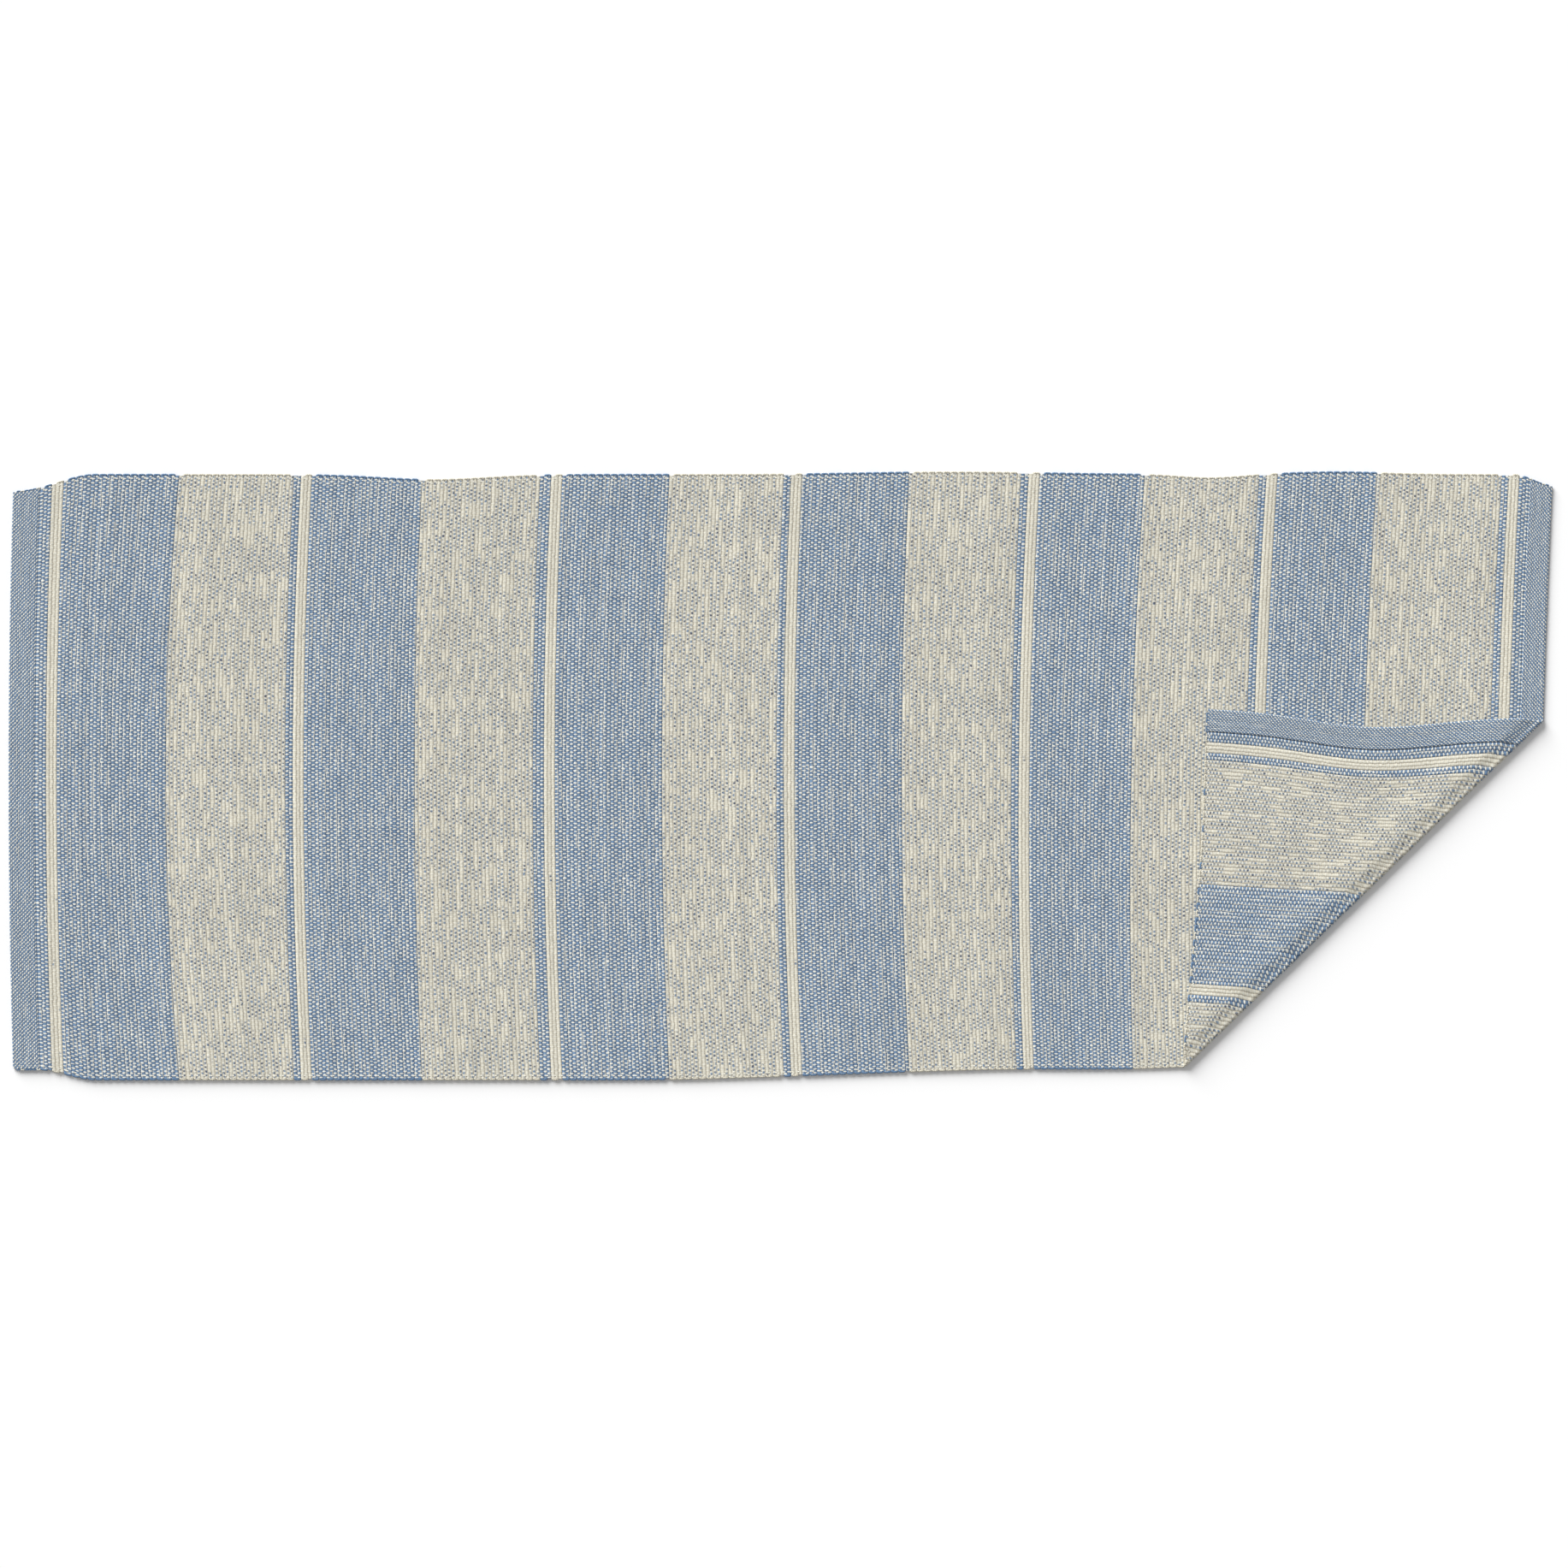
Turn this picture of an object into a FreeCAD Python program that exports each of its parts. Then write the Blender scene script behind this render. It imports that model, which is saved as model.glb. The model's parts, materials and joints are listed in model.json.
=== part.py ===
"""A flat-woven cotton runner, lying flat with its front right corner turned back over its face.

The cloth is woven from one set of lengthwise warp yarns and many crosswise weft yarns. Each
colour band is the run of one weft yarn, carried to and fro across the warp and cut off where the
next colour starts, so each band is a solid of its own. The runner is also split where it folds:
a fold in the middle, a fold half way along each half, and the crease of the turned corner. A
solid stops just short of each of those lines, so that the panels on its two sides can turn.

X runs along the length, Y across the width and Z is up. The origin is at the middle of the
underside. Sizes are in millimetres and angles in degrees.
"""

import FreeCAD, Part
import math
import os

# Cloth
RUG_WIDTH = 720.0
CLOTH_THICKNESS = 5.0
PICK_PITCH = 4.38  # from one pass of the weft to the next
SELVEDGE_WIDTH = 6.0  # bundled outer warp ends with the weft turned round them

# Hems at the two short ends: the cloth is turned under, so each is two plies thick
HEM_WIDTH = 32.0
HEM_SLIT = 0.3  # between the two plies

# Running stitch that holds each hem down
SEAM_INSET = 3.0  # from the hem's free edge to the thread
SEAM_END = 8.0  # from the long edge of the runner to the first stitch
STITCH_LENGTH = 4.0
THREAD_SIZE = 0.8

# Folds
LAYER_GAP = 1.0  # between any two layers that lie on each other
PANEL_GAP = 1.0  # between the panels of one fold
LEFT_FOLD_PICKS = 23  # picks of the left fold's band that stay on its outer side
RIGHT_FOLD_PICKS = 8  # picks of the right fold's band that stay on its inner side
CREASE_CLEAR = 4.0  # from the right fold to the corner's hinge line, along the front edge
CREASE_ANGLE = 44.0  # between the corner's hinge line and the front edge

# The weaver's draft, from the left end to the right: each band and its number of picks
DRAFT = [
    ("blue_edge_left", 3),
    ("cream_pin_1", 3),
    ("blue_band_1", 30),
    ("cream_band_1", 32),
    ("blue_pin_1", 2),
    ("cream_pin_2", 3),
    ("blue_band_2", 30),
    ("cream_band_2", 32),
    ("blue_pin_2", 3),
    ("cream_pin_3", 3),
    ("blue_band_3", 29),
    ("cream_band_3", 31),
    ("blue_pin_3", 2),
    ("cream_pin_4", 3),
    ("blue_band_4", 29),
    ("cream_band_4", 30),
    ("blue_pin_4", 2),
    ("cream_pin_5", 3),
    ("blue_band_5", 28),
    ("cream_band_5", 31),
    ("blue_pin_5", 2),
    ("cream_pin_6", 3),
    ("blue_band_6", 27),
    ("cream_band_6", 34),
    ("blue_pin_6", 2),
    ("cream_pin_7", 3),
    ("blue_edge_right", 3),
]
LEFT_FOLD_BAND = "blue_band_2"
MIDDLE_FOLD_BAND = "blue_pin_3"  # the middle fold runs along this band's left edge
RIGHT_FOLD_BAND = "cream_band_5"

# Values that follow from the driving dimensions
WOVEN_LENGTH = PICK_PITCH * sum(picks for _, picks in DRAFT)
RUG_LENGTH = WOVEN_LENGTH + 2 * HEM_WIDTH
LEFT_END = -RUG_LENGTH / 2
RIGHT_END = RUG_LENGTH / 2
FRONT_EDGE = -RUG_WIDTH / 2
BACK_EDGE = RUG_WIDTH / 2
EDGE_RADIUS = CLOTH_THICKNESS / 2
CORNER_AXIS_HEIGHT = CLOTH_THICKNESS + LAYER_GAP / 2


def band_edges():
    """The left edge of every band in the draft, by name, and the right edge of the last one."""
    edges = {}
    x = LEFT_END + HEM_WIDTH
    for name, picks in DRAFT:
        edges[name] = x
        x += picks * PICK_PITCH
    return edges, x


BAND_START, WEAVE_END = band_edges()
LEFT_FOLD = BAND_START[LEFT_FOLD_BAND] + LEFT_FOLD_PICKS * PICK_PITCH
MIDDLE_FOLD = BAND_START[MIDDLE_FOLD_BAND]
RIGHT_FOLD = BAND_START[RIGHT_FOLD_BAND] + RIGHT_FOLD_PICKS * PICK_PITCH

# The hinge line of the turned corner, seen from above
CREASE_START = FreeCAD.Vector(RIGHT_FOLD + CREASE_CLEAR, FRONT_EDGE, 0)
CREASE_ALONG = FreeCAD.Vector(
    math.cos(math.radians(CREASE_ANGLE)), math.sin(math.radians(CREASE_ANGLE)), 0
)
CREASE_OUT = FreeCAD.Vector(CREASE_ALONG.y, -CREASE_ALONG.x, 0)


def beside_crease(side):
    """A prism that covers all of the cloth on one side of the hinge line, clear of it by half
    the panel gap. side is -1 for the main cloth and 1 for the corner."""
    reach = RUG_LENGTH + RUG_WIDTH
    near = CREASE_START + CREASE_OUT * (side * PANEL_GAP / 2)
    far = CREASE_START + CREASE_OUT * (side * reach)
    outline = [
        near - CREASE_ALONG * reach,
        near + CREASE_ALONG * reach,
        far + CREASE_ALONG * reach,
        far - CREASE_ALONG * reach,
    ]
    corners = [FreeCAD.Vector(p.x, p.y, -CLOTH_THICKNESS) for p in outline]
    face = Part.Face(Part.makePolygon(corners + corners[:1]))
    return face.extrude(FreeCAD.Vector(0, 0, 3 * CLOTH_THICKNESS))


def turned_over(shape):
    """The corner's part of a flat shape, turned over the hinge line to lie on the cloth."""
    turned = shape.copy()
    pivot = CREASE_START + FreeCAD.Vector(0, 0, CORNER_AXIS_HEIGHT)
    turned.rotate(pivot, CREASE_ALONG, -180)
    return turned


def band_solid(left, right):
    """The woven stretch of one weft yarn, between the two selvedges."""
    return Part.makeBox(
        right - left,
        RUG_WIDTH - 2 * SELVEDGE_WIDTH,
        CLOTH_THICKNESS,
        FreeCAD.Vector(left, FRONT_EDGE + SELVEDGE_WIDTH, 0),
    )


def selvedge_solid(left, right, edge):
    """A selvedge from left to right. Its outer side is round, where the weft turns back. edge is
    -1 at the front and 1 at the back."""
    inner = edge * (RUG_WIDTH / 2 - SELVEDGE_WIDTH)
    shoulder = edge * (RUG_WIDTH / 2 - EDGE_RADIUS)
    outer = edge * RUG_WIDTH / 2
    low_in = FreeCAD.Vector(left, inner, 0)
    low_out = FreeCAD.Vector(left, shoulder, 0)
    crown = FreeCAD.Vector(left, outer, EDGE_RADIUS)
    high_out = FreeCAD.Vector(left, shoulder, CLOTH_THICKNESS)
    high_in = FreeCAD.Vector(left, inner, CLOTH_THICKNESS)
    outline = Part.Wire(
        [
            Part.makeLine(low_in, low_out),
            Part.Arc(low_out, crown, high_out).toShape(),
            Part.makeLine(high_out, high_in),
            Part.makeLine(high_in, low_in),
        ]
    )
    return Part.Face(outline).extrude(FreeCAD.Vector(right - left, 0, 0))


def seam_solid(thread_x):
    """The sewing thread of one hem: a running stitch that goes over the face, down through both
    plies, under the back and up again, all the way across. It starts and ends on the face."""
    room = RUG_WIDTH - 2 * SEAM_END - THREAD_SIZE
    count = int(room // STITCH_LENGTH)
    count -= 1 - count % 2
    start = -(count * STITCH_LENGTH + THREAD_SIZE) / 2
    legs = [start + i * STITCH_LENGTH for i in range(count + 1)]
    face_side = [(legs[0], 0), (legs[0], CLOTH_THICKNESS)]
    back_side = [(legs[0] + THREAD_SIZE, 0), (legs[0] + THREAD_SIZE, CLOTH_THICKNESS - THREAD_SIZE)]
    for i, leg in enumerate(legs[1:]):
        if i % 2 == 0:
            drop = THREAD_SIZE if i < count - 1 else 0
            face_side += [(leg + THREAD_SIZE, CLOTH_THICKNESS), (leg + THREAD_SIZE, drop)]
            back_side += [(leg, CLOTH_THICKNESS - THREAD_SIZE), (leg, 0)]
        else:
            face_side += [(leg, THREAD_SIZE), (leg, CLOTH_THICKNESS)]
            back_side += [(leg + THREAD_SIZE, 0), (leg + THREAD_SIZE, CLOTH_THICKNESS - THREAD_SIZE)]
    left = thread_x - THREAD_SIZE / 2
    corners = [FreeCAD.Vector(left, y, z) for y, z in face_side + back_side[::-1]]
    face = Part.Face(Part.makePolygon(corners + corners[:1]))
    return face.extrude(FreeCAD.Vector(THREAD_SIZE, 0, 0))


def hem_solid(end, thread):
    """A hem: the cloth turned under at one end, with a round fold at the very end and a slit
    between its plies, cut where the thread runs. end is -1 at the left and 1 at the right."""
    inner = end * (RUG_LENGTH / 2 - HEM_WIDTH)
    shoulder = end * (RUG_LENGTH / 2 - EDGE_RADIUS)
    slit_crown = shoulder + end * HEM_SLIT / 2
    slit_low = EDGE_RADIUS - HEM_SLIT / 2
    slit_high = EDGE_RADIUS + HEM_SLIT / 2

    def at(x, z):
        return FreeCAD.Vector(x, FRONT_EDGE, z)

    outer_fold = Part.Arc(
        at(shoulder, 0), at(end * RUG_LENGTH / 2, EDGE_RADIUS), at(shoulder, CLOTH_THICKNESS)
    )
    inner_fold = Part.Arc(
        at(shoulder, slit_high), at(slit_crown, EDGE_RADIUS), at(shoulder, slit_low)
    )
    outline = Part.Wire(
        [
            Part.makeLine(at(inner, 0), at(shoulder, 0)),
            outer_fold.toShape(),
            Part.makeLine(at(shoulder, CLOTH_THICKNESS), at(inner, CLOTH_THICKNESS)),
            Part.makeLine(at(inner, CLOTH_THICKNESS), at(inner, slit_high)),
            Part.makeLine(at(inner, slit_high), at(shoulder, slit_high)),
            inner_fold.toShape(),
            Part.makeLine(at(shoulder, slit_low), at(inner, slit_low)),
            Part.makeLine(at(inner, slit_low), at(inner, 0)),
        ]
    )
    return Part.Face(outline).extrude(FreeCAD.Vector(0, RUG_WIDTH, 0)).cut(thread)


# The four panels between the folds, from the left end to the right
PANELS = [
    ("left_outer", LEFT_END, LEFT_FOLD - PANEL_GAP / 2),
    ("left_inner", LEFT_FOLD + PANEL_GAP / 2, MIDDLE_FOLD - PANEL_GAP / 2),
    ("right_inner", MIDDLE_FOLD + PANEL_GAP / 2, RIGHT_FOLD - PANEL_GAP / 2),
    ("right_outer", RIGHT_FOLD + PANEL_GAP / 2, RIGHT_END),
]


def stretches(left, right):
    """The parts of a run from left to right that lie in each panel."""
    found = []
    for panel, start, stop in PANELS:
        if min(right, stop) > max(left, start):
            found.append((panel, max(left, start), min(right, stop)))
    return found


def flat_pieces():
    """Every piece as it lies with the corner not yet turned: name, suffix, panel and solid. The
    suffix says which panel a piece belongs to where a fold splits it."""
    pieces = []
    for name, picks in DRAFT:
        runs = stretches(BAND_START[name], BAND_START[name] + picks * PICK_PITCH)
        for panel, left, right in runs:
            suffix = "" if len(runs) == 1 else "_" + panel.split("_")[1]
            pieces.append((name, suffix, panel, band_solid(left, right)))
    for side, edge in (("front", -1), ("back", 1)):
        for panel, left, right in stretches(LEFT_END + HEM_WIDTH, WEAVE_END):
            selvedge = selvedge_solid(left, right, edge)
            pieces.append(("selvedge_" + side, "_" + panel, panel, selvedge))
    for side, end, panel in (("left", -1, "left_outer"), ("right", 1, "right_outer")):
        thread = seam_solid(end * (RUG_LENGTH / 2 - HEM_WIDTH + SEAM_INSET))
        pieces.append(("hem_" + side, "", panel, hem_solid(end, thread)))
        pieces.append(("hem_thread_" + side, "", panel, thread))
    return pieces


def one_solid(name, shape):
    """The single solid of a clipped shape, or None where the clip leaves nothing."""
    if len(shape.Solids) > 1:
        raise ValueError(name + " falls into " + str(len(shape.Solids)) + " solids")
    return shape.Solids[0] if shape.Solids else None


def folded_pieces():
    """Every piece in place, by name. A piece of the right outer panel that the hinge line
    crosses is two solids, and the one past the line is turned over."""
    pieces = {}
    for name, suffix, panel, shape in flat_pieces():
        if panel != "right_outer":
            pieces[name + suffix] = shape
            continue
        stays = one_solid(name, shape.common(beside_crease(-1)))
        turns = one_solid(name, shape.common(beside_crease(1)))
        if stays:
            pieces[name + suffix] = stays
        if turns:
            pieces[name + "_corner"] = turned_over(turns)
    return pieces


os.makedirs("parts", exist_ok=True)
for piece_name, piece in folded_pieces().items():
    piece.exportStep(os.path.join("parts", piece_name + ".step"))
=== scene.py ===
"""Looks of a flat-woven cotton runner that lies flat with one corner turned back over its face.

Every piece is built as a flat stretch of cloth first, in the cloth's own measures: u along the
runner, v across it and n up from the middle of its thickness. One function then puts a point of
the flat cloth where it lies, with the slight bow of the weft, the waves of the edges and the
turned corner. Lengths are in metres.
"""

import json
import math
import re

import bpy
import numpy as np
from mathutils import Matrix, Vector

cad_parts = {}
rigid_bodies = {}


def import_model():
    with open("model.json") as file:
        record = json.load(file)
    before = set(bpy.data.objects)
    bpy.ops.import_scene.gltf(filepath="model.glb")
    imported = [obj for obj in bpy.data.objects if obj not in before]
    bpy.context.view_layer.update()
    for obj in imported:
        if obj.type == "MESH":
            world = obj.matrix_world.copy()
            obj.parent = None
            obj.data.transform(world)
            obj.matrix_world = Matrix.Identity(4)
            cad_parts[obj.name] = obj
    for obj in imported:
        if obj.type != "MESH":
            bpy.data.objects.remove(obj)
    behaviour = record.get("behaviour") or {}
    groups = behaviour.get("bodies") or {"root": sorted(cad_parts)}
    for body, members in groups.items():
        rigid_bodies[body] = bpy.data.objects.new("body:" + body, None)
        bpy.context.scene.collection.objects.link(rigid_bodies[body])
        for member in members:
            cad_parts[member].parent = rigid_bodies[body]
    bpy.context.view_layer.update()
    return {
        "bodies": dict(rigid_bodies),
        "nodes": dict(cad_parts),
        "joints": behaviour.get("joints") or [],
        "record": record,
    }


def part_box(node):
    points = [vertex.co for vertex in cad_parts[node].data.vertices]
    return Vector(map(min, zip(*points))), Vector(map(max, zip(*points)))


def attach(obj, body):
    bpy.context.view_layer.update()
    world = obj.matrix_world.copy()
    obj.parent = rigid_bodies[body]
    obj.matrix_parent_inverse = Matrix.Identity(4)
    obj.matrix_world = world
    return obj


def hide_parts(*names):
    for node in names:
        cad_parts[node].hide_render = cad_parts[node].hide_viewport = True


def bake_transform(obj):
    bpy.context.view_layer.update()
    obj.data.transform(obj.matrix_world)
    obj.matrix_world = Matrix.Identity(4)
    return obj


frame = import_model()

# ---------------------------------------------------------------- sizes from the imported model
JOINTS = {joint["name"]: joint for joint in frame["joints"]}
BODIES = frame["record"]["behaviour"]["bodies"]
BODY_OF = {node: body for body, nodes in BODIES.items() for node in nodes}

RIGHT_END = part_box("hem_right")[1].x
LEFT_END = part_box("hem_left")[0].x
HALF_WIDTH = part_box("hem_left")[1].y
CLOTH_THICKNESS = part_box("hem_left")[1].z
HEM_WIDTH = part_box("hem_left")[1].x - LEFT_END
PICKS_IN_EDGE_BAND = 3
PICK = (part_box("blue_edge_left")[1].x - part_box("blue_edge_left")[0].x) / PICKS_IN_EDGE_BAND

LEFT_FOLD = JOINTS["left_fold"]["pos_m"][0]
HALF_FOLD = JOINTS["half_fold"]["pos_m"][0]
RIGHT_FOLD = JOINTS["right_fold"]["pos_m"][0]
CREASE_START = np.array(JOINTS["corner_fold"]["pos_m"])
CREASE_ALONG = np.array(JOINTS["corner_fold"]["axis"])
CREASE_OUT = np.array([CREASE_ALONG[1], -CREASE_ALONG[0], 0])

# ---------------------------------------------------------------- sizes of the weave
ENDS = 300  # warp ends across the runner
END = 2 * HALF_WIDTH / ENDS
UNDERSIDE = np.array([0, 1.0])  # one end on, as there the warp shows where the face has weft
MID_HEIGHT = CLOTH_THICKNESS / 2
BODY_HEIGHT = 0.00175  # half the cloth's thickness, without ribs and bumps
RIB = 0.00035  # a pick's crest above that, and the groove between two picks below it
WARP_BUMP = 0.00015  # a warp end above the crest where it passes over
SLAB_EDGE = 0.0022  # from the edge of the runner to where the ground of the weave ends
HEM_PICKS = 2 * round(HEM_WIDTH / PICK)  # the hem's weft is half as thick
HEM_PICK = HEM_WIDTH / HEM_PICKS
CORNER_REACH = 0.12  # the turned corner lies wholly in front of this v
SPLIT_PICKS = 10  # picks of the right fold's band in the piece that bends with that fold

# ---------------------------------------------------------------- sizes of the crease
TURN_START = 0.0002  # from the hinge line to where the cloth begins to turn
TURN_LENGTH = 0.0075  # from there to where it lies nearly flat again
TURN_POWER = 1.5  # how much of the turn is made at its start
TURNED_AT_CREASE = 0.98  # the share of the half turn that is made over that length
TURN_REST = 0.005, 0.060  # where the rest of it is made
PINCH_IN, PINCH_OUT = (-0.004, 0.002), (0.006, 0.018)  # where the pressed cloth begins and ends
PINCHED_SHARE = 0.7  # of the cloth's thickness, where it is pressed
PINCHED_RISE = 0.0012  # of the pressed cloth's middle, away from the floor
DRAWN_SHARE = 0.65  # how far the cloth past the crease is drawn in, as a share of its distance
DRAWN_OUT = 0.004, 0.016  # where that ends


def ease(value, start, end):
    """0 before start, 1 after end and smooth between them."""
    t = np.clip((value - start) / (end - start), 0, 1)
    return t * t * (3 - 2 * t)


def swell(value, centre, reach):
    """1 at centre, and down to nothing over about twice the reach on both sides."""
    return np.exp(-(((value - centre) / reach) ** 2))


# ---------------------------------------------------------------- how the flat cloth lies
def bowed(u, v):
    """x of a point of the cloth. The picks bow towards the left in the middle of the runner, and
    lean to the right at the back."""
    depth = 0.009 + 0.007 * swell(u, -0.72, 0.11) - 0.004 * ease(abs(u), 0.80, 0.91)
    x = u + depth * ((v / HALF_WIDTH) ** 2 - 0.25)
    x = x + 0.020 * ease(u, 0.15, 0.45) * (v - HALF_WIDTH / 2)
    x = x - 0.005 * ease(u, 0.87, RIGHT_END)
    return x - 0.015 * swell(v, -0.137, 0.11) * ease(u, 0.70, 0.90)


def edge_shifts(u):
    """How far the front and the back edge lie towards the back of a straight edge."""
    back = -0.0015 - 0.006 * swell(u, -0.42, 0.09) + 0.003 * swell(u, 0.20, 0.15)
    back = back - 0.004 * swell(u, 0.50, 0.05) + 0.003 * swell(u, 0.65, 0.08)
    back = back - 0.020 * ease(-u, 0.82, 0.91) - 0.013 * ease(u, 0.86, 0.915)
    front = -0.0015 + 0.013 * ease(u, -0.20, 0.32) + 0.017 * ease(u, 0.38, 0.80)
    front = front + 0.012 * ease(-u, 0.82, 0.885)
    return front, back


def in_plane(u, v):
    """x and y of points of the cloth, before its corner is turned over."""
    front, back = edge_shifts(u)
    shift = np.where(v > 0, back, front)
    return bowed(u, v), v + shift * (v / HALF_WIDTH) ** 2


def beyond_crease(x, y):
    """How far points lie beyond the corner's hinge line, in the flat cloth."""
    return (x - CREASE_START[0]) * CREASE_OUT[0] + (y - CREASE_START[1]) * CREASE_OUT[1]


def corner_turn(x, y):
    """The share of the half turn that the turned corner has made, from 0 to 1. It turns quickly
    round the crease, and is down flat some way past it."""
    past = beyond_crease(x, y)
    round_crease = 1 - (1 - np.clip((past - TURN_START) / TURN_LENGTH, 0, 1)) ** TURN_POWER
    return TURNED_AT_CREASE * round_crease + (1 - TURNED_AT_CREASE) * ease(past, *TURN_REST)


def pinch(x, y):
    """1 where the cloth is pressed thin in the crease, and down to 0 beside it."""
    past = beyond_crease(x, y)
    return ease(past, *PINCH_IN) * (1 - ease(past, *PINCH_OUT))


def drawn_to_crease(x, y):
    """How far points of the corner are drawn in towards the crease, to keep the fold tight."""
    past = np.maximum(beyond_crease(x, y), 0)
    return past * DRAWN_SHARE * (1 - ease(past, *DRAWN_OUT))


def turned(points, share):
    """Points of the flat cloth, turned back about the corner's hinge line by a share of a half
    turn."""
    angle = -math.pi * share
    arm = points - CREASE_START
    cos, sin = np.cos(angle)[:, None], np.sin(angle)[:, None]
    along = (arm @ CREASE_ALONG)[:, None] * CREASE_ALONG
    return CREASE_START + arm * cos + np.cross(CREASE_ALONG, arm) * sin + along * (1 - cos)


def ripple(u, v):
    """How far the cloth stands up from flat, in slight unevenness all over it."""
    return 0.00006 * np.sin(u * 41) * np.sin(v * 33 + 1) + 0.00004 * np.sin(u * 97 + v * 71)


def lie(u, v, n):
    """Where points of the flat cloth lie."""
    x, y = in_plane(u, v)
    share, pressed = corner_turn(x, y), pinch(x, y)
    drawn_in = drawn_to_crease(x, y)
    x, y = x - drawn_in * CREASE_OUT[0], y - drawn_in * CREASE_OUT[1]
    smooth = np.clip(n, RIB - BODY_HEIGHT, BODY_HEIGHT - RIB)  # without ribs and bumps
    n = n + pressed * (PINCHED_SHARE * smooth + PINCHED_RISE - n)
    return turned(np.stack([x, y, MID_HEIGHT + n + ripple(u, v)], axis=1), share)


# ---------------------------------------------------------------- what bends at which fold
# Each fold's two bodies, and its start and end along x in the flat cloth
FOLDS = {
    "left_fold": ("left_inner_panel", "left_outer_panel", LEFT_FOLD + 0.0035, LEFT_FOLD - 0.005),
    "half_fold": ("left_inner_panel", "right_inner_panel", HALF_FOLD - 0.003, HALF_FOLD + 0.015),
    "right_fold": (
        "right_inner_panel", "right_outer_panel", RIGHT_FOLD - 0.0045, RIGHT_FOLD + 0.0035
    ),
}


def move_with(piece, motion, u, v):
    """Makes a piece ride on a body. For a fold it only works out where the piece's points lie in the
    plane and bakes its transform into its mesh; nothing bends it. u and v are its points' places in the
    flat cloth."""
    if motion in frame["bodies"]:
        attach(piece, motion)
        return
    x, y = in_plane(u, v)
    if motion == "corner_fold":
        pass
    else:
        near, far, start, end = FOLDS[motion]
        if motion == "right_fold":  # done by SPLIT, from where the cloth bends with the corner
            x = x + np.maximum(0, end - in_plane(np.full(len(v), SPLIT), v)[0] + 0.0003)
    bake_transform(piece)


# ---------------------------------------------------------------- meshes
class Cloth:
    """Gathers the faces of one piece in the flat cloth's measures, and makes the piece."""

    def __init__(self):
        self.flat = []  # u, v, n of each point
        self.weave = []  # pick and end of each point, for the material
        self.quads = []
        self.bake = []  # where each corner of each quad goes in the baked image
        self.kinds = []  # material number of each quad
        self.walls = []  # 1 for each quad that meets its neighbours at a sharp edge
        self.count = 0

    def grid(self, points, weave, patch, kind=0, flip=False, wall=0):
        """Adds a grid of quads. points is rows x columns x 3, weave rows x columns x 2, and patch
        the left, bottom, right and top of its room in the baked image."""
        rows, columns = points.shape[:2]
        number = self.count + np.arange(rows * columns).reshape(rows, columns)
        self.flat.append(points.reshape(-1, 3))
        self.weave.append(weave.reshape(-1, 2))
        self.count += rows * columns
        corners = [number[:-1, :-1], number[1:, :-1], number[1:, 1:], number[:-1, 1:]]
        left, bottom, right, top = patch
        across = np.linspace(left, right, rows)[:, None] + np.zeros((1, columns))
        up = np.zeros((rows, 1)) + np.linspace(bottom, top, columns)[None, :]
        room = np.stack([across, up], axis=2)
        places = [room[:-1, :-1], room[1:, :-1], room[1:, 1:], room[:-1, 1:]]
        if flip:
            corners, places = corners[::-1], places[::-1]
        self.quads.append(np.stack(corners, axis=2).reshape(-1, 4))
        self.bake.append(np.stack(places, axis=2).reshape(-1, 4, 2))
        self.kinds.append(np.full((rows - 1) * (columns - 1), kind, dtype=np.int32))
        self.walls.append(np.full((rows - 1) * (columns - 1), wall, dtype=np.int32))

    def make(self, name, materials):
        """The finished piece, with its points' places in the flat cloth as u and v."""
        flat = np.concatenate(self.flat)
        quads = np.concatenate(self.quads)
        flat, back = np.unique(np.round(flat, 8), axis=0, return_inverse=True)
        corner_weave = np.concatenate(self.weave)[quads]
        quads = back.reshape(-1)[quads]
        kept = quads != np.roll(quads, -1, axis=1)  # a quad on the tip of a yarn is a triangle
        starts = np.concatenate([[0], np.cumsum(kept.sum(axis=1))])
        mesh = bpy.data.meshes.new(name)
        mesh.vertices.add(len(flat))
        mesh.vertices.foreach_set("co", lie(*flat.T).astype(np.float32).ravel())
        mesh.loops.add(int(starts[-1]))
        mesh.loops.foreach_set("vertex_index", quads[kept].astype(np.int32))
        mesh.polygons.add(len(quads))
        mesh.polygons.foreach_set("loop_start", starts[:-1].astype(np.int32))
        for material in materials:
            mesh.materials.append(material)
        mesh.polygons.foreach_set("material_index", np.concatenate(self.kinds))
        mesh.polygons.foreach_set("use_smooth", np.ones(len(quads), dtype=bool))
        for layer, corners in (("Weave", corner_weave), ("OFBake", np.concatenate(self.bake))):
            uv = mesh.uv_layers.new(name=layer)
            uv.data.foreach_set("uv", corners[kept].astype(np.float32).ravel())
        mesh.update(calc_edges=True)
        self.sharpen(mesh, np.repeat(np.concatenate(self.walls), kept.sum(axis=1)))
        mesh.validate()
        piece = bpy.data.objects.new(name, mesh)
        bpy.context.scene.collection.objects.link(piece)
        return piece, flat[:, 0], flat[:, 1]

    def sharpen(self, mesh, walls):
        """Marks the edges between walls and other faces as sharp. walls has a number for each
        corner of the mesh's faces."""
        edges = np.empty(len(mesh.loops), dtype=np.int32)
        mesh.loops.foreach_get("edge_index", edges)
        total = np.bincount(edges, walls, len(mesh.edges))
        marks = mesh.attributes.new("sharp_edge", "BOOLEAN", "EDGE")
        marks.data.foreach_set("value", total == 1)


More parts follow.
